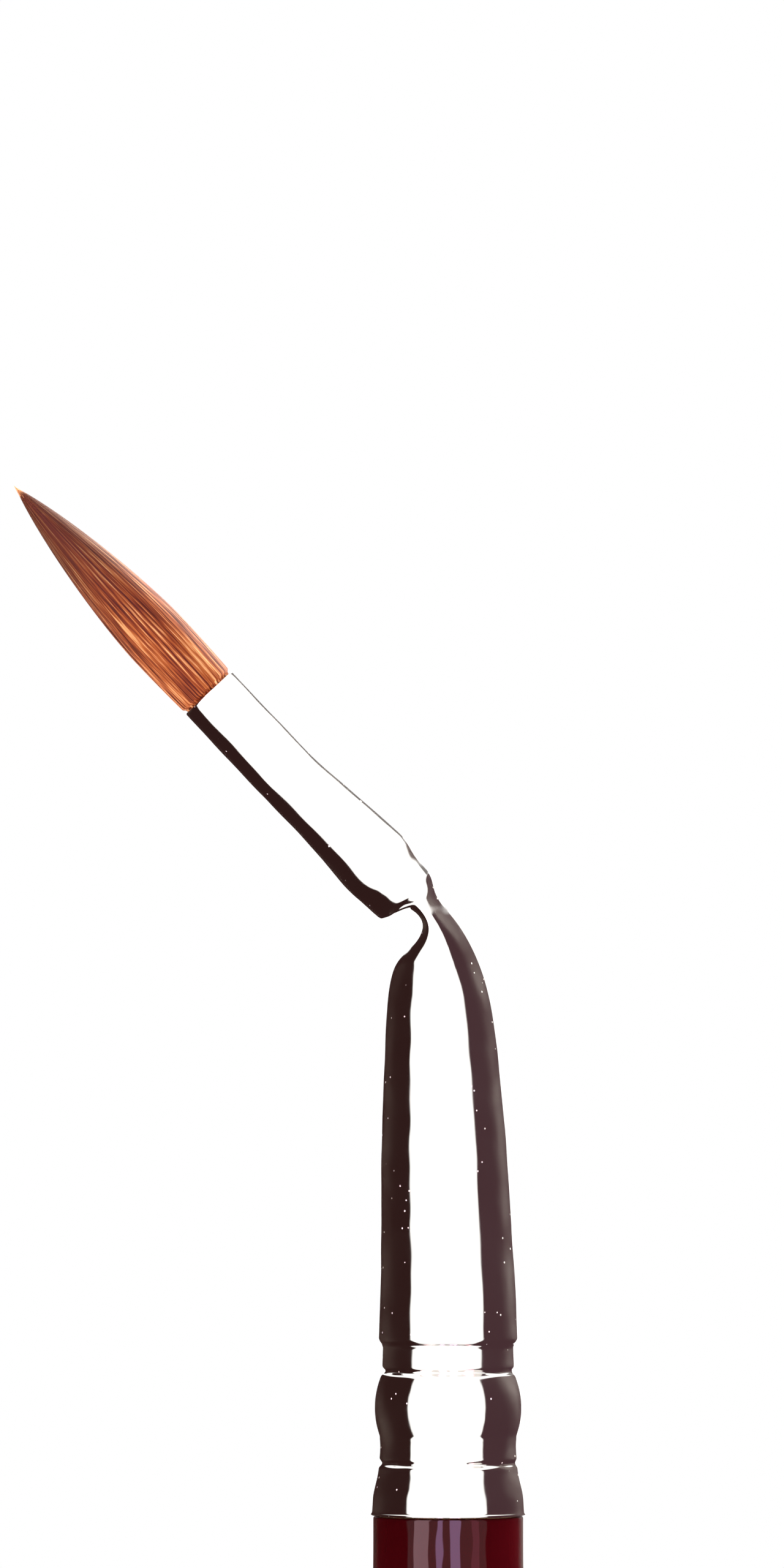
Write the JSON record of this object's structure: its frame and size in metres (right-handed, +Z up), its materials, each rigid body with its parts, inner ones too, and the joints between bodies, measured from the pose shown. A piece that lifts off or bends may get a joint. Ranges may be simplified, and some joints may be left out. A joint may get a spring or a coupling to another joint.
{
  "type": "fine detail brush",
  "caption": "Round pointed detail brush: lacquered wooden handle, crimped plated ferrule with a kinked bend, and a soft hair tuft that flexes.",
  "frame": {"origin": "on the handle's axis, at the middle of the cylindrical grip", "axes": "+Z up the straight handle towards the head; the bent head leans to -X; +Y completes the right-handed frame"},
  "size_m": [0.0193, 0.007, 0.1724],
  "materials": {
    "handle_wood": "turned hardwood, sanded",
    "handle_lacquer": "dark burgundy lacquer with a clear gloss top",
    "ferrule_plate": "bright nickel plate on brass, polished",
    "glue": "cured clear amber glue",
    "resin": "cured epoxy resin",
    "thread": "fine twisted cotton thread",
    "hair_root": "close-packed sable type hair",
    "hair": "red-brown sable type hair with a paler point"
  },
  "bodies": {
    "brush": {"handle_core": "handle_wood", "lacquer_coat": "handle_lacquer", "ferrule": "ferrule_plate", "tenon_glue": "glue", "root_resin": "resin", "binding_thread": "thread", "hair_root": "hair_root"},
    "tuft": {"hair_tuft": "hair"}
  },
  "joints": [
    {"name": "tuft_flex", "type": "hinge", "parent": "brush", "child": "tuft", "pos_m": [-0.00891, 0, 0.05306], "axis": [0, 1, 0], "range_deg": [-30, 30], "stiffness_Nm_per_rad": 0.0008}
  ]
}
